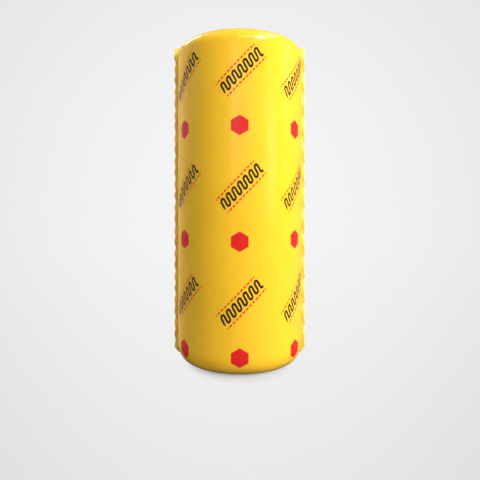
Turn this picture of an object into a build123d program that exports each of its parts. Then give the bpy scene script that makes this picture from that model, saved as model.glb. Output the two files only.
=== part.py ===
from build123d import *
import math
import os

# A roll of glasswool blanket sealed in a film bag, standing on its end.
# Millimetres, +Z up along the roll's axis, origin at the centre of the base.
# The bag's two welded side seams stand out along +X and -X.

# Outside of the packed roll
roll_height = 1200.0
roll_radius = 235.0

# Rounded shoulders, where the film has drawn the ends of the roll in.
# Each is a quarter ellipse in flat bands, fewer of them out of sight under the film.
top_shoulder_reach = 55.0
top_shoulder_height = 54.0
base_shoulder_reach = 37.0
base_shoulder_height = 78.0
outer_shoulder_bands = 6
inner_shoulder_bands = 3

# Film bag
film_thickness = 1.0
seam_width = 13.0
seam_top_gap = 14.0
seam_base_gap = 20.0
seam_base_slant = 11.0
ripple_pitch = 87.3
ripple_swing = 6.0

# Wound blanket inside the bag
blanket_clearance = 0.3
bore_radius = 24.0
turn_pitch = 20.0
turn_groove_depth = 5.0


def shoulder(reach, height, bands):
    """Corners of the bands from the flat end to the wall, as (in from wall, in from end)."""
    turns = [math.pi / 2 * band / bands for band in range(bands + 1)]
    return [(reach * (1 - math.sin(t)), height * (1 - math.cos(t))) for t in turns]


def roll_section(inset, bands, end_points):
    """Half section set in from the skin of the film, its ends given from the axis out."""
    wall = roll_radius - inset
    top = roll_height - inset
    base = shoulder(base_shoulder_reach - inset, base_shoulder_height - inset, bands)
    head = shoulder(top_shoulder_reach - inset, top_shoulder_height - inset, bands)
    up = [(r, inset + depth) for r, depth in end_points(wall - base[0][0])]
    up += [(wall - across, inset + rise) for across, rise in base]
    down = [(r, top - depth) for r, depth in end_points(wall - head[0][0])]
    down += [(wall - across, top - rise) for across, rise in head]
    with BuildSketch(Plane.YZ) as section:
        with BuildLine():
            Polyline(*up, *reversed(down), close=True)
        make_face()
    return section.sketch


def plain_end(rim_radius):
    """A flat end, closed to the axis."""
    return [(0, 0)]


def wound_end(rim_radius):
    """The bore, then each turn's edge crowned between the grooves beside it."""
    points = [(bore_radius, turn_groove_depth)]
    for turn in range(int((rim_radius - bore_radius) / turn_pitch)):
        groove = bore_radius + turn * turn_pitch
        points.append((groove + turn_pitch / 2, 0))
        points.append((groove + turn_pitch, turn_groove_depth))
    return points


# One welded seam: both films of the bag as one rippled strip, its lower corner cut back
with BuildPart() as seam:
    seam_reach = top_shoulder_reach + seam_width
    half_ripples = math.ceil(2 * (roll_height - seam_base_gap) / ripple_pitch)
    with BuildSketch(Plane.YZ.offset(roll_radius - top_shoulder_reach)):
        with BuildLine():
            for face_y in (-film_thickness, film_thickness):
                for half in range(half_ripples):
                    foot = seam_base_gap + half * ripple_pitch / 2
                    swing = -ripple_swing if half % 2 == 0 else ripple_swing
                    ThreePointArc(
                        (face_y, foot),
                        (face_y + swing, foot + ripple_pitch / 4),
                        (face_y, foot + ripple_pitch / 2),
                    )
            top_of_ripples = seam_base_gap + half_ripples * ripple_pitch / 2
            for end_z in (seam_base_gap, top_of_ripples):
                Line((-film_thickness, end_z), (film_thickness, end_z))
        make_face()
    extrude(amount=seam_reach)
    inner_x = roll_radius - top_shoulder_reach
    outer_x = roll_radius + seam_width
    with BuildSketch(Plane.XZ):
        with BuildLine():
            Polyline(
                (inner_x, seam_base_gap),
                (roll_radius, seam_base_gap),
                (outer_x, seam_base_gap + seam_base_slant),
                (outer_x, roll_height - seam_top_gap),
                (inner_x, roll_height - seam_top_gap),
                close=True,
            )
        make_face()
    extrude(amount=ripple_swing + 2 * film_thickness, both=True, mode=Mode.INTERSECT)

# The bag: a skin of film drawn round the roll, with a seam on each side
with BuildPart() as film_bag:
    revolve(roll_section(0, outer_shoulder_bands, plain_end), axis=Axis.Z)
    add(seam.part)
    mirror(seam.part, about=Plane.YZ)
    cavity = roll_section(film_thickness, inner_shoulder_bands, plain_end)
    revolve(cavity, axis=Axis.Z, mode=Mode.SUBTRACT)
film_bag.part.label = "film_bag"

# The blanket: one wound roll with its bore, the turns showing on both ends
with BuildPart() as blanket_roll:
    inset = film_thickness + blanket_clearance
    revolve(roll_section(inset, inner_shoulder_bands, wound_end), axis=Axis.Z)
blanket_roll.part.label = "blanket_roll"

os.makedirs("parts", exist_ok=True)
export_step(film_bag.part, "parts/film_bag.step")
export_step(blanket_roll.part, "parts/blanket_roll.step")
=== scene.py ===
import math
import random

import bmesh
import bpy
from mathutils import Matrix, Vector, noise


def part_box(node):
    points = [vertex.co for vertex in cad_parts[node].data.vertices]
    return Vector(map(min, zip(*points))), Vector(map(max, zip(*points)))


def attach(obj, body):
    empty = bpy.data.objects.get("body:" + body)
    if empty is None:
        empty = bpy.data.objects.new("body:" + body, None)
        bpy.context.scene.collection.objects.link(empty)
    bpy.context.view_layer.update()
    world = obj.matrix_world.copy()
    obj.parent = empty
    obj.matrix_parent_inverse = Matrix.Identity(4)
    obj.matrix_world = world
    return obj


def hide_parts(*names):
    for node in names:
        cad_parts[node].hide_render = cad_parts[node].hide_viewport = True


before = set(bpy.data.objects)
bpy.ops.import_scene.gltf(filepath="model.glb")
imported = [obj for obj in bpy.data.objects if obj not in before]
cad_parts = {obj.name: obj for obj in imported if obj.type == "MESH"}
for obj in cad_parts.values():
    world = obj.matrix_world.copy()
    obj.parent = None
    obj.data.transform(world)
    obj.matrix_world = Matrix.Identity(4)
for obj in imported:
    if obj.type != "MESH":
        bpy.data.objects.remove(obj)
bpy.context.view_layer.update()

# Roll of glasswool insulation in a printed film bag. Metres, +Z up, standing on its base.
# The photo looks along +Y, and the two welded side seams lie at -X and +X.

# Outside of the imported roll, from the frame
BAG_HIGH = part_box("film_bag")[1]
ROLL_HEIGHT = BAG_HIGH.z
ROLL_RADIUS = BAG_HIGH.y

# Shoulders of the bag, quarter ellipses that are rounder than the CAD's by what the photo shows
TOP_REACH = 0.073
TOP_RISE = 0.057
BASE_REACH = 0.045
BASE_RISE = 0.064

# Side seams, wider than the CAD's by what the photo shows, with a tab at the top
SEAM_EXTRA = 0.003
SEAM_WIDTH = BAG_HIGH.x - ROLL_RADIUS + SEAM_EXTRA
SEAM_ROOT = 0.002
SEAM_TAB = 0.0018
SEAM_TAB_HEIGHT = 0.050
SEAM_TAB_BLEND = 0.015
SEAM_TOP_GAP = 0.014
SEAM_BASE_GAP = 0.012
SEAM_BASE_SLANT = 0.026
SEAM_THICKNESS = 0.0007
RIPPLE_PITCH = 0.0887
RIPPLE_CREST = 0.0182
RIPPLE_LEAN = math.radians(17)
RIPPLE_DRAW = 2.3
RIPPLE_VARIETY = 0.25
RIPPLE_START = 0.6

# Film drawn up to the seams: a tent at each weld, and puckers beside it
TENT_HEIGHT = 0.002
TENT_SPREAD = 0.010
PUCKER_HEIGHT = 0.0011
PUCKER_START = 0.010
PUCKER_SPREAD = 0.030
DRAW_FADE = 0.030
BASE_DRAW_LEAD = 0.010
TOP_DRAW_LEAD = 0.004

# Soft dents of the wall, large and small, as waves to the metre, fading in over the shoulders
DENT_DEPTH = 0.0006
DENT_FADE = (-0.08, -0.01)
DENT_WAVES = 6.0
SMALL_DENT_WAVES = 17.0
SMALL_DENT_SHARE = 0.4

# Pleats that gather both ends of the bag into a small knot
PLEATS = 34
PLEAT_SHIFT = 0.32
PLEAT_TWIST = 0.25
PLEAT_STRENGTHS = (0.45, 1.0)
PLEAT_LENGTHS = (0.09, 0.172)
PLEAT_WIDTH = 0.0022
PLEAT_FLARE = 0.012
PLEAT_START = (0.012, 0.04)
PLEAT_FADE = 0.07
PLEAT_LIFT = 0.0034
KNOT_LIFT = 0.0035
KNOT_RADIUS = 0.030
KNOT_FADE = 0.012
END_FADE = (0.02, 0.06)
BASE_PLEAT_LIFT = 0.0009
BASE_PLEAT_SEED = 11
TOP_PLEAT_SEED = 23

# Wound blanket
BLANKET_INSET = 0.003
BORE_RADIUS = 0.024
TURN_PITCH = 0.020
TURN_GROOVE = 0.005

# Fineness of the meshes
FILM_STEPS = 288
WALL_ROWS = 180
END_ROWS = 44
SHOULDER_ROWS = 14
SEAM_COLUMNS = 10
SEAM_ROWS = 420
BLANKET_STEPS = 96
BLANKET_ROWS = 20
NEAR = 1e-5

# Printing, laid out alike on the bag's front and back panels
PRINT_COLUMN_PITCH = math.radians(57.6) * ROLL_RADIUS
PRINT_ROW_PITCH = 0.3937
PRINT_MIDDLE_Z = 0.615
PRINT_HALF_HEIGHT = 0.68
CELL_HEIGHT_Z = 0.4602
CELL_HALF_WIDTH = 0.030
BAND_HEIGHT_Z = 0.655
BAND_SIDE_SHIFT = -0.004
BAND_DROP = 0.012
BAND_LENGTH = 0.190
BAND_RISE = math.radians(45.7)
HATCH_HEIGHT = 0.040
HATCH_PITCH = 0.0272
HATCH_STROKE = 0.0078
HATCH_SLANT = 0.28
DASH_OFFSET = 0.029
DASH_PITCH = 0.016
DASH_HALF_LENGTH = 0.0058
DASH_HALF_WIDTH = 0.003
HONEYCOMB_COLUMNS = 28
HONEYCOMB_SQUASH = 0.955
HONEYCOMB_LINE = 0.001
HONEYCOMB_EDGE = 0.0045
HONEYCOMB_BASE_FADE = (-0.05, 0.02)
HONEYCOMB_TOP_FADE = (1.20, 1.26)

# Sealing bar's mark along each seam
WELD_MIDDLE = 0.008
WELD_HALF_WIDTH = 0.004
WELD_RIB_PITCH = 0.0024

# The photo in pixels, and the distance of its camera from the roll's axis
PHOTO_SIDE = 480
PHOTO_FOCAL = 488.1
PHOTO_HORIZON = 200.3
PHOTO_AXIS_X = 239.7
SENSOR_WIDTH = 36.0
CAMERA_DISTANCE = 8.0 * ROLL_RADIUS

# Studio
LAMP_DISTANCE = 5.0
LAMP_TARGET = 1.1
WORLD_LIGHT = 0.32
BACKDROP_SIDE = 0.80
BACKDROP_MIDDLE = 0.915
FLOOR_RADIUS = 60.0
FLOOR_GREY = (0.48, 0.48, 0.48, 1.0)
FLOOR_NEARNESS = (0.135, 0.921)
FLOOR_NEAR_LEVEL = 0.893

# What the floor gives back to the roll: less on its left, and least close to its foot
BOUNCE_X = (-0.35, 0.15)
BOUNCE_LEVELS = (0.10, 0.52)
BOUNCE_FOOT = (0.20, 0.26)
BOUNCE_FOOT_LEVELS = (0.1, 1.0)
GLOSS_FOOT = (0.2, 0.5)
GLOSS_LEVELS = (0.06, 0.32)

# Contact shadow that the floor keeps round the roll's foot, longer than wide
SHADOW_SQUEEZE = 1.3
SHADOW_FORWARD = 0.03
SHADOW_EDGES = (0.165, 0.29)
SHADOW_SHARE = 0.35


def smooth(value, start, end):
    """0 before start, 1 after end, and a smooth rise between them."""
    t = min(max((value - start) / (end - start), 0.0), 1.0)
    return t * t * (3 - 2 * t)


def new_piece(name, bm):
    """A mesh object at the origin from a finished bmesh, smooth shaded."""
    for face in bm.faces:
        face.smooth = True
    mesh = bpy.data.meshes.new(name)
    bm.to_mesh(mesh)
    bm.free()
    piece = bpy.data.objects.new(name, mesh)
    bpy.context.scene.collection.objects.link(piece)
    return piece


# Outline of the roll

def quarter_round(reach, rise):
    """Length of a quarter ellipse."""
    root = math.sqrt((3 * reach + rise) * (reach + 3 * rise))
    return math.pi / 4 * (3 * (reach + rise) - root)


def shoulder_radius(beyond_wall, reach, rise):
    """Radius of the bag in a shoulder, at a height beyond the end of the wall."""
    return ROLL_RADIUS - reach * (1 - math.sqrt(max(0.0, 1 - (beyond_wall / rise) ** 2)))


def profile_radius(z):
    """Radius of the bag's outside at a height."""
    if z < BASE_RISE:
        return shoulder_radius(BASE_RISE - z, BASE_REACH, BASE_RISE)
    if z > ROLL_HEIGHT - TOP_RISE:
        return shoulder_radius(z - (ROLL_HEIGHT - TOP_RISE), TOP_REACH, TOP_RISE)
    return ROLL_RADIUS


def stretch_shoulder(bm, end_z, inwards, reach, rise, inset):
    """Makes a round corner of the outline the quarter ellipse of its shoulder."""
    for vert in bm.verts:
        depth = inwards * (vert.co.z - end_z)
        if vert.co.x > ROLL_RADIUS - reach and depth < reach - inset + NEAR:
            vert.co.z = end_z + inwards * depth * (rise - inset) / (reach - inset)


def roll_profile(bm, inner, inset, wall_rows, end_rows):
    """The roll's half outline from its base to its top, each end from the inner radius out."""
    wall, top = ROLL_RADIUS - inset, ROLL_HEIGHT - inset
    corners = [(inner, inset), (wall, inset), (wall, top), (inner, top)]
    verts = [bm.verts.new((x, 0, z)) for x, z in corners]
    for pair in zip(verts, verts[1:]):
        bm.edges.new(pair)
    for corner, reach in ((verts[1], BASE_REACH), (verts[2], TOP_REACH)):
        bmesh.ops.bevel(
            bm,
            geom=[corner],
            affect="VERTICES",
            offset=reach - inset,
            segments=SHOULDER_ROWS,
            profile=0.5,
            material=-1,
        )
    stretch_shoulder(bm, inset, 1, BASE_REACH, BASE_RISE, inset)
    stretch_shoulder(bm, top, -1, TOP_REACH, TOP_RISE, inset)
    flat_edges = [e for e in bm.edges if e.calc_length() > ROLL_RADIUS / 2]
    for edge in flat_edges:
        rows = wall_rows if edge.calc_length() > ROLL_RADIUS else end_rows
        bmesh.ops.subdivide_edges(bm, edges=[edge], cuts=rows - 1)


def spin_round(bm, steps):
    """Turns the outline full circle round the roll's axis."""
    bmesh.ops.spin(
        bm,
        geom=bm.verts[:] + bm.edges[:],
        cent=(0, 0, 0),
        axis=(0, 0, 1),
        angle=2 * math.pi,
        steps=steps,
        use_merge=True,
    )
    bmesh.ops.remove_doubles(bm, verts=bm.verts[:], dist=1e-6)
    bmesh.ops.recalc_face_normals(bm, faces=bm.faces[:])


# The film bag

def ripple(z, side):
    """Where a seam leans: 1 towards the photo's camera, -1 away from it. The seams alternate."""
    return -side * math.cos(2 * math.pi * (z - RIPPLE_CREST) / RIPPLE_PITCH)


def number_profile(bm, layer):
    """Writes each profile vertex's distance along the film from the middle of the base."""
    vert = min(bm.verts, key=lambda v: (v.co.x, v.co.z))
    before, along = None, 0.0
    while vert:
        vert[layer] = along
        ahead = [e.other_vert(vert) for e in vert.link_edges if e.other_vert(vert) != before]
        if ahead:
            along += (ahead[0].co - vert.co).length
        before, vert = vert, ahead[0] if ahead else None


def end_pleats(seed):
    """Angles, strengths, lengths and twists of the pleats that gather one end of the bag."""
    rng = random.Random(seed)
    pleats = []
    for index in range(PLEATS):
        angle = 2 * math.pi * (index + rng.uniform(-PLEAT_SHIFT, PLEAT_SHIFT)) / PLEATS
        strength = rng.uniform(*PLEAT_STRENGTHS)
        length = rng.uniform(*PLEAT_LENGTHS)
        pleats.append((angle, strength, length, rng.uniform(-PLEAT_TWIST, PLEAT_TWIST)))
    return pleats


def pleat_height(x, y, pleats):
    """How far a gathered end stands proud at a point, from 0 to about 1."""
    radius = math.hypot(x, y)
    angle = math.atan2(y, x)
    width = PLEAT_WIDTH + PLEAT_FLARE * radius
    height = 0.0
    for centre, strength, length, twist in pleats:
        bend = centre + twist * (radius / ROLL_RADIUS) ** 2
        off = abs((angle - bend + math.pi) % (2 * math.pi) - math.pi) * radius
        if off < 5 * width:
            fade = smooth(length - radius, 0.0, PLEAT_FADE) * smooth(radius, *PLEAT_START)
            height += strength * fade * math.exp(-((off / width) ** 2))
    return height


def seam_draw(x, y, z, radius):
    """How far the seams draw the film out at a point: tents at the welds, puckers beside them."""
    from_seam = abs(math.asin(max(-1.0, min(1.0, y / radius)))) * radius
    from_top = ROLL_HEIGHT - z
    along_seam = smooth(z, SEAM_BASE_GAP - BASE_DRAW_LEAD, SEAM_BASE_GAP + DRAW_FADE)
    along_seam *= smooth(from_top, SEAM_TOP_GAP - TOP_DRAW_LEAD, SEAM_TOP_GAP + DRAW_FADE)
    tent = TENT_HEIGHT * math.exp(-from_seam / TENT_SPREAD)
    lean = ripple(z, math.copysign(1, x)) * math.copysign(1, -y)
    pucker = PUCKER_HEIGHT * lean * math.exp(-from_seam / PUCKER_SPREAD)
    return along_seam * (tent + pucker * smooth(from_seam, 0, PUCKER_START))


def soft_dent(place, radius):
    """Shallow dents and swells of the blanket's wall under the film."""
    on_wall = smooth(radius - ROLL_RADIUS, *DENT_FADE)
    small = SMALL_DENT_SHARE * noise.noise(place * SMALL_DENT_WAVES)
    return DENT_DEPTH * (noise.noise(place * DENT_WAVES) + small) * on_wall


def end_lift(x, y, radius, pleats, on_top):
    """How far the gathered film of an end stands up: freely on top, pressed flat in the base."""
    end_part = smooth(ROLL_RADIUS - radius, *END_FADE)
    if end_part == 0:
        return 0.0
    pleat = pleat_height(x, y, pleats)
    if not on_top:
        return end_part * BASE_PLEAT_LIFT * min(pleat, 1.0)
    knot = smooth(KNOT_RADIUS - radius, 0.0, KNOT_FADE)
    return end_part * (PLEAT_LIFT * pleat + KNOT_LIFT * knot)


def shape_film(bm):
    """Moves the plain turned skin into drawn film: seam tents, puckers, dents, gathered ends."""
    base_pleats, top_pleats = end_pleats(BASE_PLEAT_SEED), end_pleats(TOP_PLEAT_SEED)
    for vert in bm.verts:
        x, y, z = vert.co
        radius = math.hypot(x, y)
        if radius < NEAR:
            continue
        on_top = z > ROLL_HEIGHT / 2
        pleats = top_pleats if on_top else base_pleats
        push = seam_draw(x, y, z, radius) + soft_dent(Vector((x, y, z)), radius)
        vert.co += Vector((x / radius, y / radius, 0)) * push
        vert.co.z += end_lift(x, y, radius, pleats, on_top)


def lay_film_map(bm, layer):
    """UV map of the flat film in metres: round the roll, and along it from the base's middle."""
    uv = bm.loops.layers.uv.new("film_lay")
    half_round = math.pi * ROLL_RADIUS
    for face in bm.faces:
        middle = face.calc_center_median()
        centre_u = math.atan2(middle.x, -middle.y) * ROLL_RADIUS
        for loop in face.loops:
            co = loop.vert.co
            u = centre_u
            if math.hypot(co.x, co.y) > NEAR:
                u = math.atan2(co.x, -co.y) * ROLL_RADIUS
                if u - centre_u > half_round:
                    u -= 2 * half_round
                elif centre_u - u > half_round:
                    u += 2 * half_round
            loop[uv].uv = (u, loop.vert[layer])


def make_film():
    """The bag's skin: the outline turned, mapped while it is plain, then drawn into shape."""
    bm = bmesh.new()
    along = bm.verts.layers.float.new("along_film")
    roll_profile(bm, 0.0, 0.0, WALL_ROWS, END_ROWS)
    number_profile(bm, along)
    spin_round(bm, FILM_STEPS)
    lay_film_map(bm, along)
    shape_film(bm)
    return new_piece("film_bag_skin", bm)


def seam_point(across, up, side):
    """A point of a seam: across from 0 at its root to 1 at its free edge, and up from 0 to 1."""
    top = ROLL_HEIGHT - SEAM_TOP_GAP
    base = SEAM_BASE_GAP + SEAM_BASE_SLANT * across ** 2
    z = base + (top - base) * up
    tab_foot = top - SEAM_TAB_HEIGHT
    tab = SEAM_TAB * smooth(z, tab_foot, tab_foot + SEAM_TAB_BLEND)
    root = profile_radius(z) - SEAM_ROOT
    reach = root + (ROLL_RADIUS + SEAM_WIDTH + tab - root) * across
    wide = max(0.0, reach - ROLL_RADIUS)
    lean = RIPPLE_LEAN * ripple(z, side) * smooth(wide, 0.0, SEAM_WIDTH * RIPPLE_START)
    lean *= 1 + RIPPLE_VARIETY * noise.noise(Vector((side, 0, z * 9)))
    x = min(reach, ROLL_RADIUS) + wide * math.cos(RIPPLE_DRAW * lean)
    return Vector((side * x, -wide * math.sin(lean), z))


def make_seam(name, side):
    """One welded seam: a flat strip that leans to and fro along its free edge."""
    bm = bmesh.new()
    bmesh.ops.create_grid(bm, x_segments=SEAM_COLUMNS, y_segments=SEAM_ROWS, size=0.5)
    uv = bm.loops.layers.uv.new("seam_lay")
    for face in bm.faces:
        for loop in face.loops:
            co = loop.vert.co
            loop[uv].uv = ((co.x + 0.5) * SEAM_WIDTH, (co.y + 0.5) * ROLL_HEIGHT)
    for vert in bm.verts:
        vert.co = seam_point(vert.co.x + 0.5, vert.co.y + 0.5, side)
    bm.normal_update()
    bmesh.ops.solidify(bm, geom=bm.faces[:], thickness=SEAM_THICKNESS)
    bmesh.ops.recalc_face_normals(bm, faces=bm.faces[:])
    return new_piece(name, bm)


# The wound blanket

def make_blanket():
    """The blanket inside the bag: a turned roll with its bore, the turns showing on its ends."""
    bm = bmesh.new()
    turns = round((ROLL_RADIUS - BASE_REACH - BORE_RADIUS) / TURN_PITCH)
    roll_profile(bm, BORE_RADIUS, BLANKET_INSET, BLANKET_ROWS, 2 * turns)
    ends = {BLANKET_INSET: TURN_GROOVE, ROLL_HEIGHT - BLANKET_INSET: -TURN_GROOVE}
    for level, groove in ends.items():
        end_verts = [v for v in bm.verts if abs(v.co.z - level) < NEAR]
        end_verts.sort(key=lambda v: v.co.x)
        for vert in end_verts[:-1:2]:
            vert.co.z += groove
    bore = [v for v in bm.verts if abs(v.co.x - BORE_RADIUS) < NEAR]
    bm.edges.new(bore)
    spin_round(bm, BLANKET_STEPS)
    return new_piece("wound_blanket", bm)


# Nodes

class Nodes:
    """Adds nodes to one tree, each value a number or another node's output."""

    def __init__(self, tree):
        self.nodes = tree.nodes
        self.links = tree.links

    def feed(self, value, socket):
        if isinstance(value, bpy.types.NodeSocket):
            self.links.new(value, socket)
        else:
            socket.default_value = value

    def node(self, kind, **settings):
        node = self.nodes.new(kind)
        for key, value in settings.items():
            setattr(node, key, value)
        return node

    def filled(self, node, values):
        """The node's first output, once its first inputs are fed."""
        for value, socket in zip(values, node.inputs):
            self.feed(value, socket)
        return node.outputs[0]

    def math(self, operation, *values):
        return self.filled(self.node("ShaderNodeMath", operation=operation), values)

    def length(self, x, y):
        """Length of the arrow whose two legs are x and y."""
        squares = [self.math("MULTIPLY", leg, leg) for leg in (x, y)]
        return self.math("SQRT", self.math("ADD", *squares))

    def ramp(self, value, low, high, to_low=0.0, to_high=1.0, smooth_ends=False):
        """Maps low to to_low and high to to_high, and holds the value at both ends."""
        node = self.node("ShaderNodeMapRange", clamp=True)
        if smooth_ends:
            node.interpolation_type = "SMOOTHSTEP"
        return self.filled(node, (value, low, high, to_low, to_high))

    def split(self, vector):
        node = self.node("ShaderNodeSeparateXYZ")
        self.feed(vector, node.inputs[0])
        return node.outputs

    def join(self, x, y):
        return self.filled(self.node("ShaderNodeCombineXYZ"), (x, y))

    def blend(self, factor, first, second):
        """A number between two others: the first where the factor is 0, the second at 1."""
        node = self.node("ShaderNodeMix", data_type="FLOAT")
        for value, index in ((factor, 0), (first, 2), (second, 3)):
            self.feed(value, node.inputs[index])
        return node.outputs[0]

    def shader_of(self, kind, **values):
        """A shader node's output, its sockets fed by name."""
        node = self.node(kind)
        for name, value in values.items():
            self.feed(value, node.inputs[name])
        return node.outputs[0]

    def pick(self, factor, first, second):
        """A shader between two others: the first where the factor is 0, the second at 1."""
        return self.filled(self.node("ShaderNodeMixShader"), (factor, first, second))


class Finish(Nodes):
    """Builds one material."""

    def __init__(self, name):
        self.material = bpy.data.materials.new(name)
        self.material.use_nodes = True
        super().__init__(self.material.node_tree)
        self.shader = self.nodes["Principled BSDF"]
        self.output = self.nodes["Material Output"]

    def uv(self, name):
        return self.node("ShaderNodeUVMap", uv_map=name).outputs[0]

    def object_place(self):
        return self.node("ShaderNodeTexCoord").outputs["Object"]

    def noise(self, vector, scale, detail=2.0, roughness=0.5):
        node = self.node("ShaderNodeTexNoise")
        self.feed(vector, node.inputs["Vector"])
        node.inputs["Scale"].default_value = scale
        node.inputs["Detail"].default_value = detail
        node.inputs["Roughness"].default_value = roughness
        return node.outputs["Fac"]

    def mix(self, factor, first, second):
        """A colour between two others, as blend does for numbers."""
        node = self.node("ShaderNodeMix", data_type="RGBA")
        for value, index in ((factor, 0), (first, 6), (second, 7)):
            self.feed(value, node.inputs[index])
        return node.outputs[2]

    def bump(self, height, distance, strength=1.0, before=None):
        node = self.node("ShaderNodeBump")
        node.inputs["Strength"].default_value = strength
        node.inputs["Distance"].default_value = distance
        self.feed(height, node.inputs["Height"])
        if before:
            self.feed(before, node.inputs["Normal"])
        return node.outputs[0]

    def set(self, **values):
        for name, value in values.items():
            self.feed(value, self.shader.inputs[name.replace("_", " ").title()])


# Colours

def colour(red, green, blue):
    """Linear colour from screen values of 0 to 255."""
    def linear(value):
        value /= 255
        return value / 12.92 if value <= 0.04045 else ((value + 0.055) / 1.055) ** 2.4
    return (linear(red), linear(green), linear(blue), 1.0)


def shade(tone, red, green, blue):
    """The same tone with each channel scaled."""
    return tuple(min(1.0, c * f) for c, f in zip(tone, (red, green, blue))) + (1.0,)


WHITE = (1.0, 1.0, 1.0, 1.0)
FILM_YELLOW = colour(255, 199, 37)
FILM_DEEP = shade(FILM_YELLOW, 0.97, 0.955, 0.9)
FILM_COMB = shade(FILM_YELLOW, 1.0, 1.04, 1.5)
# The seams' yellow is the bag's film painted paler: painted light for light shining through the
# thin seam. Its deep tone is the random mottle of that paler yellow.
SEAM_BACKLIT_YELLOW = colour(253, 216, 84)
SEAM_BACKLIT_DEEP = shade(SEAM_BACKLIT_YELLOW, 0.96, 0.93, 0.85)
CELL_RED = colour(226, 28, 26)
LINE_RED = colour(226, 76, 20)
MARK_BLACK = colour(42, 22, 2)
WOOL_DEEP = colour(196, 160, 84)
WOOL_YELLOW = colour(228, 202, 132)
WOOL_PALE = colour(242, 226, 178)
FILM_IOR = 1.42

# Film on the flat from the middle of the base to the foot of the wall
BASE_FILM = ROLL_RADIUS - BASE_REACH + quarter_round(BASE_REACH, BASE_RISE)


# Print

def repeat(finish, value, pitch, centre=0.0):
    """Signed distance from the nearest repeat of centre, which comes back every pitch."""
    shifted = finish.math("SUBTRACT", value, centre)
    return finish.math("WRAP", shifted, pitch / 2, -pitch / 2)


def inside(finish, value, half_width, soft=0.0004):
    """1 where a value is within half_width of 0, with a slightly soft edge."""
    distance = finish.math("ABSOLUTE", value)
    return finish.ramp(distance, half_width - soft, half_width + soft, 1.0, 0.0)


def overlap(finish, first, second):
    """Where two masks overlap."""
    return finish.math("MULTIPLY", first, second)


def turned(finish, x, y, angle):
    """The coordinates along and across a line that rises at angle."""
    cos, sin = math.cos(angle), math.sin(angle)
    x_cos, x_sin = finish.math("MULTIPLY", x, cos), finish.math("MULTIPLY", x, sin)
    y_cos, y_sin = finish.math("MULTIPLY", y, cos), finish.math("MULTIPLY", y, sin)
    return finish.math("ADD", x_cos, y_sin), finish.math("SUBTRACT", y_cos, x_sin)


def meander(finish, along, across):
    """Mask of a rounded snaking line, as a batt of wool is hatched on a drawing."""
    radius, half_stroke = HATCH_PITCH / 4, HATCH_STROKE / 2
    leg_end = HATCH_HEIGHT / 2 - radius - half_stroke
    slanted = finish.math("SUBTRACT", along, finish.math("MULTIPLY", across, HATCH_SLANT))
    leg = finish.math("ABSOLUTE", repeat(finish, slanted, 2 * radius))
    leg = inside(finish, finish.math("SUBTRACT", leg, radius), half_stroke)
    mask = overlap(finish, leg, inside(finish, across, leg_end))
    for end, centre in ((1, 0.0), (-1, HATCH_PITCH / 2)):
        beside = repeat(finish, slanted, HATCH_PITCH, centre)
        beyond = finish.math("SUBTRACT", finish.math("MULTIPLY", across, end), leg_end)
        off_ring = finish.math("SUBTRACT", finish.length(beside, beyond), radius)
        ring = inside(finish, off_ring, half_stroke)
        turn = overlap(finish, ring, finish.math("GREATER_THAN", beyond, 0.0))
        mask = finish.math("MAXIMUM", mask, turn)
    return mask


def dashed_edges(finish, along, across):
    """Mask of the dashed line on both sides of a band."""
    off_line = finish.math("SUBTRACT", finish.math("ABSOLUTE", across), DASH_OFFSET)
    dash = inside(finish, repeat(finish, along, DASH_PITCH), DASH_HALF_LENGTH)
    return overlap(finish, dash, inside(finish, off_line, DASH_HALF_WIDTH))


def hexagon(finish, x, y):
    """Distance from the middle of a hexagon on its point, measured square to its flats."""
    x = finish.math("ABSOLUTE", x)
    y = finish.math("ABSOLUTE", y)
    sloped = finish.math("MULTIPLY", y, math.sqrt(3) / 2)
    return finish.math("MAXIMUM", x, finish.math("ADD", finish.math("MULTIPLY", x, 0.5), sloped))


def honeycomb(finish, u, z):
    """Faint honeycomb outlines on the roll's side, 1 on a cell's wall."""
    pitch = 2 * math.pi * ROLL_RADIUS / HONEYCOMB_COLUMNS
    row = pitch * HONEYCOMB_SQUASH
    distances = []
    for shift in (0.0, 0.5):
        x = repeat(finish, u, pitch, shift * pitch)
        y = repeat(finish, z, 2 * row, shift * 2 * row)
        y = finish.math("MULTIPLY", y, math.sqrt(3) / 2 * pitch / row)
        distances.append(hexagon(finish, x, y))
    nearest = finish.math("MINIMUM", *distances)
    walls = finish.ramp(nearest, pitch / 2 - HONEYCOMB_EDGE, pitch / 2 - HONEYCOMB_LINE)
    above_base = finish.ramp(z, *HONEYCOMB_BASE_FADE)
    below_top = finish.ramp(z, *HONEYCOMB_TOP_FADE, 1.0, 0.0)
    return overlap(finish, walls, overlap(finish, above_base, below_top))


def film_print(finish, u, z):
    """Masks of the hatched bands, of their dashed edges and of the cells."""
    panel = repeat(finish, u, math.pi * ROLL_RADIUS)
    x = repeat(finish, panel, PRINT_COLUMN_PITCH)
    band_x = finish.math("SUBTRACT", x, BAND_SIDE_SHIFT)
    band_y = repeat(finish, z, PRINT_ROW_PITCH, BAND_HEIGHT_Z)
    along, across = turned(finish, band_x, band_y, BAND_RISE)
    across = finish.math("ADD", across, BAND_DROP)
    in_band = inside(finish, along, BAND_LENGTH / 2)
    hatch = overlap(finish, meander(finish, along, across), in_band)
    dashes = overlap(finish, dashed_edges(finish, along, across), in_band)
    cell_y = repeat(finish, z, PRINT_ROW_PITCH, CELL_HEIGHT_Z)
    cell = inside(finish, hexagon(finish, x, cell_y), CELL_HALF_WIDTH)
    off_middle = finish.math("SUBTRACT", z, PRINT_MIDDLE_Z)
    on_film = inside(finish, off_middle, PRINT_HALF_HEIGHT)
    return [overlap(finish, mark, on_film) for mark in (hatch, dashes, cell)]


# Materials

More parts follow.
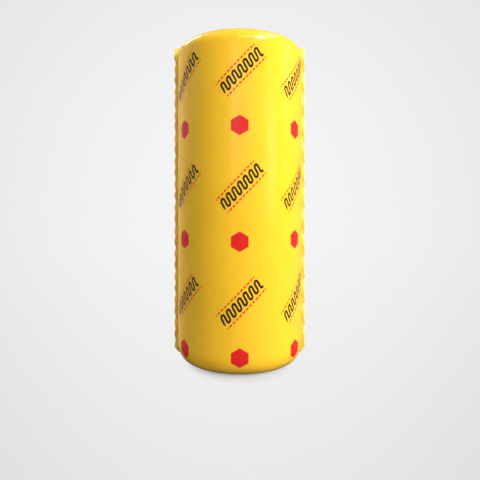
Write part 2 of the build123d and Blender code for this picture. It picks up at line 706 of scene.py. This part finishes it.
def printed_film():
    """Glossy yellow film printed with hatched bands, red cells and a faint honeycomb."""
    finish = Finish("printed_yellow_film")
    u, v, _ = finish.split(finish.uv("film_lay"))
    place = finish.object_place()
    z = finish.math("SUBTRACT", v, BASE_FILM - BASE_RISE)
    hatch, dashes, cell = film_print(finish, u, z)
    comb = honeycomb(finish, u, z)

    mottle = finish.ramp(finish.noise(place, scale=5.0, detail=3.0), 0.35, 0.7)
    film = finish.mix(mottle, FILM_DEEP, FILM_YELLOW)
    film = finish.mix(finish.math("MULTIPLY", comb, 0.5), film, FILM_COMB)
    for mark, ink_colour in ((hatch, MARK_BLACK), (dashes, LINE_RED), (cell, CELL_RED)):
        film = finish.mix(mark, film, ink_colour)

    stretched = finish.join(finish.math("MULTIPLY", u, 6.0), v)
    strain = finish.noise(stretched, scale=22.0, detail=3.0, roughness=0.6)
    peel = finish.noise(finish.join(u, v), scale=210.0)
    relief = finish.bump(strain, distance=0.0006, strength=0.35)
    relief = finish.bump(comb, distance=0.00012, strength=0.5, before=relief)
    relief = finish.bump(peel, distance=0.0001, strength=0.3, before=relief)

    ink = finish.math("MAXIMUM", finish.math("MAXIMUM", hatch, dashes), cell)
    rough = finish.ramp(finish.noise(place, scale=9.0, detail=4.0), 0.3, 0.75, 0.2, 0.28)
    rough = finish.math("ADD", rough, finish.math("MULTIPLY", ink, 0.05))
    finish.set(base_color=film, roughness=rough, normal=relief)
    finish.shader.inputs["IOR"].default_value = FILM_IOR
    return finish.material


def welded_film():
    """The seams' film: unprinted, with the fine ribs that the sealing bar leaves; its yellow is
    painted paler, as light shining through the thin seam.
    """
    finish = Finish("welded_yellow_film")
    u, v, _ = finish.split(finish.uv("seam_lay"))
    place = finish.object_place()
    off_weld = finish.math("SUBTRACT", u, WELD_MIDDLE)
    weld = inside(finish, off_weld, WELD_HALF_WIDTH, soft=0.0006)
    ribs = finish.math("ABSOLUTE", repeat(finish, v, WELD_RIB_PITCH))
    ribs = overlap(finish, finish.ramp(ribs, 0.0, WELD_RIB_PITCH / 2), weld)
    mottle = finish.noise(place, scale=22.0, detail=3.0)
    grain = finish.noise(place, scale=140.0, detail=3.0)
    # Mottle between the seam's two yellows, both painted paler than the bag's film as light
    # shining through the thin seam
    film = finish.mix(finish.ramp(mottle, 0.3, 0.7), SEAM_BACKLIT_DEEP, SEAM_BACKLIT_YELLOW)
    film = finish.mix(finish.math("MULTIPLY", weld, 0.3), film, SEAM_BACKLIT_DEEP)
    relief = finish.bump(ribs, distance=0.0003, strength=0.5)
    relief = finish.bump(grain, distance=0.0003, strength=0.4, before=relief)
    rough = finish.ramp(mottle, 0.3, 0.7, 0.24, 0.34)
    finish.set(base_color=film, roughness=rough, normal=relief)
    finish.shader.inputs["IOR"].default_value = FILM_IOR
    return finish.material


def glasswool():
    """Matted yellow glass fibre of the blanket inside the bag."""
    finish = Finish("glasswool")
    place = finish.object_place()
    clumps = finish.noise(place, scale=60.0, detail=6.0, roughness=0.65)
    fibres = finish.noise(place, scale=520.0, detail=4.0, roughness=0.7)
    wool = finish.mix(finish.ramp(clumps, 0.3, 0.7), WOOL_DEEP, WOOL_YELLOW)
    wool = finish.mix(finish.ramp(fibres, 0.4, 0.75, 0.0, 0.5), wool, WOOL_PALE)
    matting = finish.math("ADD", clumps, fibres)
    relief = finish.bump(matting, distance=0.002, strength=0.7)
    rough = finish.ramp(fibres, 0.3, 0.7, 0.85, 1.0)
    finish.set(base_color=wool, roughness=rough, normal=relief)
    return finish.material


# Stage

def backdrop_level(tree, towards):
    """Brightness of the backdrop, from how nearly a level direction points along +Y."""
    return tree.ramp(towards, 0.86, 1.0, BACKDROP_SIDE, BACKDROP_MIDDLE)


def floor_level(finish, x, y):
    """Brightness of the floor: the backdrop's behind it, and darker near the photo's camera."""
    ahead = finish.math("ADD", y, CAMERA_DISTANCE)
    reach = finish.length(x, ahead)
    far_level = backdrop_level(finish, finish.math("DIVIDE", ahead, reach))
    in_front = finish.ramp(reach, 0.3, 1.0, smooth_ends=True)
    level = finish.blend(in_front, BACKDROP_SIDE, far_level)
    nearness = finish.math("DIVIDE", 1.0, finish.math("MAXIMUM", reach, 0.9))
    darkening = finish.ramp(nearness, *FLOOR_NEARNESS, 1.0, FLOOR_NEAR_LEVEL)
    return finish.math("MULTIPLY", level, darkening)


def glow_share(finish, x, y):
    """How much of the floor's brightness is its own. Near the roll it takes the roll's shadow."""
    squeezed_x = finish.math("MULTIPLY", x, SHADOW_SQUEEZE)
    shifted_y = finish.math("ADD", y, SHADOW_FORWARD)
    away = finish.length(squeezed_x, shifted_y)
    return finish.ramp(away, *SHADOW_EDGES, SHADOW_SHARE, 1.0, smooth_ends=True)


def floor_finish():
    """Pale floor: its own level to the camera, and a softer bounce to the roll."""
    finish = Finish("pale_floor")
    x, y, _ = finish.split(finish.object_place())
    away = finish.length(x, y)
    ray = finish.node("ShaderNodeLightPath").outputs
    gloss_level = finish.ramp(away, *GLOSS_FOOT, *GLOSS_LEVELS)
    level = finish.blend(ray["Is Glossy Ray"], floor_level(finish, x, y), gloss_level)
    glow = finish.shader_of("ShaderNodeEmission", Color=WHITE, Strength=level)
    plain = finish.shader_of("ShaderNodeBsdfDiffuse", Color=FLOOR_GREY)
    seen = finish.pick(glow_share(finish, x, y), plain, glow)

    lit = finish.ramp(x, *BOUNCE_X, *BOUNCE_LEVELS)
    lit = finish.math("MULTIPLY", lit, finish.ramp(away, *BOUNCE_FOOT, *BOUNCE_FOOT_LEVELS))
    bounce = finish.shader_of("ShaderNodeBsdfDiffuse", Color=lit)
    mirrored = finish.math("MAXIMUM", ray["Is Glossy Ray"], ray["Is Transmission Ray"])
    is_seen = finish.math("MAXIMUM", ray["Is Camera Ray"], mirrored)
    finish.feed(finish.pick(is_seen, bounce, seen), finish.output.inputs["Surface"])
    return finish.material


def make_floor():
    """A wide plain floor that fades into the backdrop and keeps the roll's contact shadow."""
    bm = bmesh.new()
    bmesh.ops.create_circle(bm, cap_ends=True, segments=96, radius=FLOOR_RADIUS)
    floor = new_piece("floor", bm)
    floor.data.materials.append(floor_finish())


def make_world():
    """Soft grey surroundings: a pale backdrop to the camera, and dimmer walls in the gloss."""
    world = bpy.data.worlds.new("studio")
    bpy.context.scene.world = world
    world.use_nodes = True
    sky = Nodes(world.node_tree)
    _, towards, _ = sky.split(sky.node("ShaderNodeTexCoord").outputs["Generated"])
    mirrored = sky.ramp(towards, -1.0, -0.3, 0.24, 0.34)
    mirrored = sky.math("MULTIPLY", mirrored, sky.ramp(towards, 0.5, 0.9, 1.0, 0.75))
    mirrored = sky.math("MULTIPLY", mirrored, sky.ramp(towards, 0.95, 1.0, 1.0, 2.5))
    backdrop = backdrop_level(sky, towards)
    levels = {"Glossy": mirrored, "Transmission": backdrop, "Camera": backdrop}
    ray = sky.node("ShaderNodeLightPath").outputs
    shown = sky.shader_of("ShaderNodeBackground", Color=WHITE, Strength=WORLD_LIGHT)
    for kind, level in levels.items():
        seen = sky.shader_of("ShaderNodeBackground", Color=WHITE, Strength=level)
        shown = sky.pick(ray[f"Is {kind} Ray"], shown, seen)
    sky.feed(shown, sky.nodes["World Output"].inputs["Surface"])


def area_lamp(
    name, bearing, rise, size, light, target=LAMP_TARGET, distance=LAMP_DISTANCE, seen="both"
):
    """A softbox on the roll. Bearing is degrees round from the camera's side towards +X.

    light is the level it gives a white surface that faces it, and target the height it faces.
    seen is where it shows: in the film's gloss, in its diffuse colour, or in both.
    """
    bearing, rise = math.radians(bearing), math.radians(rise)
    level_x, level_y = math.sin(bearing), -math.cos(bearing)
    away = Vector((level_x * math.cos(rise), level_y * math.cos(rise), math.sin(rise)))
    lamp = bpy.data.lights.new(name, "AREA")
    lamp.shape = "RECTANGLE"
    lamp.size, lamp.size_y = size
    lamp.energy = light * (math.pi * distance) ** 2
    item = bpy.data.objects.new(name, lamp)
    item.visible_glossy = seen != "diffuse"
    item.visible_diffuse = seen != "gloss"
    item.visible_camera = False
    bpy.context.scene.collection.objects.link(item)
    place = Matrix.Translation(Vector((0, 0, target)) + away * distance)
    item.matrix_world = place @ away.to_track_quat("Z", "Y").to_matrix().to_4x4()


def make_lamps():
    """Lamps for the film's highlights, two that both light and show, and fills for its colour."""
    area_lamp("key_softbox", bearing=45, rise=45, size=(0.8, 0.5), light=0.85, seen="gloss")
    area_lamp("wide_strip", bearing=18, rise=44, size=(2.2, 0.35), light=0.17, seen="gloss")
    area_lamp("side_strip", bearing=106, rise=60, size=(0.7, 1.0), light=0.27, seen="gloss")
    area_lamp("rim_strip", bearing=-140, rise=41, size=(0.8, 1.8), light=0.19, seen="gloss")
    area_lamp("tall_softbox", bearing=56.5, rise=0, size=(1.5, 1.3), light=0.07, target=1.3)
    area_lamp("front_softbox", bearing=-7, rise=10, size=(0.9, 1.6), light=0.045)
    area_lamp("key_fill", bearing=46, rise=36, size=(1.5, 1.5), light=0.90, seen="diffuse")
    area_lamp("front_right_fill", bearing=20, rise=10, size=(2.0, 2.0), light=0.09, seen="diffuse")
    area_lamp("side_fill", bearing=93, rise=20, size=(2.0, 2.0), light=0.63, seen="diffuse")
    area_lamp("back_fill", bearing=-132, rise=15, size=(2.0, 2.0), light=0.55, seen="diffuse")
    area_lamp("left_fill", bearing=-95, rise=10, size=(2.0, 2.0), light=0.065, seen="diffuse")
    area_lamp("top_fill", bearing=-110, rise=75, size=(2.0, 2.0), light=0.28, seen="diffuse")
    area_lamp("left_rim_fill", bearing=-145, rise=5, size=(1.5, 2.0), light=0.76, seen="diffuse")
    area_lamp("right_rim_fill", bearing=151, rise=5, size=(1.5, 2.0), light=0.30, seen="diffuse")
    area_lamp(
        "front_fill", bearing=-8, rise=0, size=(1.2, 0.8), light=0.085,
        target=1.05, distance=1.6, seen="diffuse",
    )
    area_lamp(
        "left_top_fill", bearing=-80, rise=20, size=(0.5, 0.5), light=0.05,
        distance=1.1, seen="diffuse",
    )


def make_camera():
    """A level camera at the roll's mid-height, shifted by where the photo's horizon lies."""
    data = bpy.data.cameras.new("photo_camera")
    data.sensor_width = SENSOR_WIDTH
    data.lens = data.sensor_width * PHOTO_FOCAL / PHOTO_SIDE
    data.shift_x = (PHOTO_SIDE / 2 - PHOTO_AXIS_X) / PHOTO_SIDE
    data.shift_y = (PHOTO_HORIZON - PHOTO_SIDE / 2) / PHOTO_SIDE
    camera = bpy.data.objects.new("photo_camera", data)
    camera.location = (0, -CAMERA_DISTANCE, ROLL_HEIGHT / 2)
    camera.rotation_euler = (math.pi / 2, 0, 0)
    bpy.context.scene.collection.objects.link(camera)
    bpy.context.scene.camera = camera


def dress():
    """The pieces that stand for the two CAD nodes, with their materials."""
    film = make_film()
    film.data.materials.append(printed_film())
    seam_film = welded_film()
    seams = [make_seam("side_seam_left", -1), make_seam("side_seam_right", 1)]
    for seam in seams:
        seam.data.materials.append(seam_film)
    for piece in (film, *seams):
        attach(piece, "root")
        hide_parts("film_bag")
    blanket = make_blanket()
    blanket.data.materials.append(glasswool())
    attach(blanket, "root")
    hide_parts("blanket_roll")


make_camera()
make_world()
make_floor()
make_lamps()
dress()
bpy.context.scene.view_settings.view_transform = "Standard"
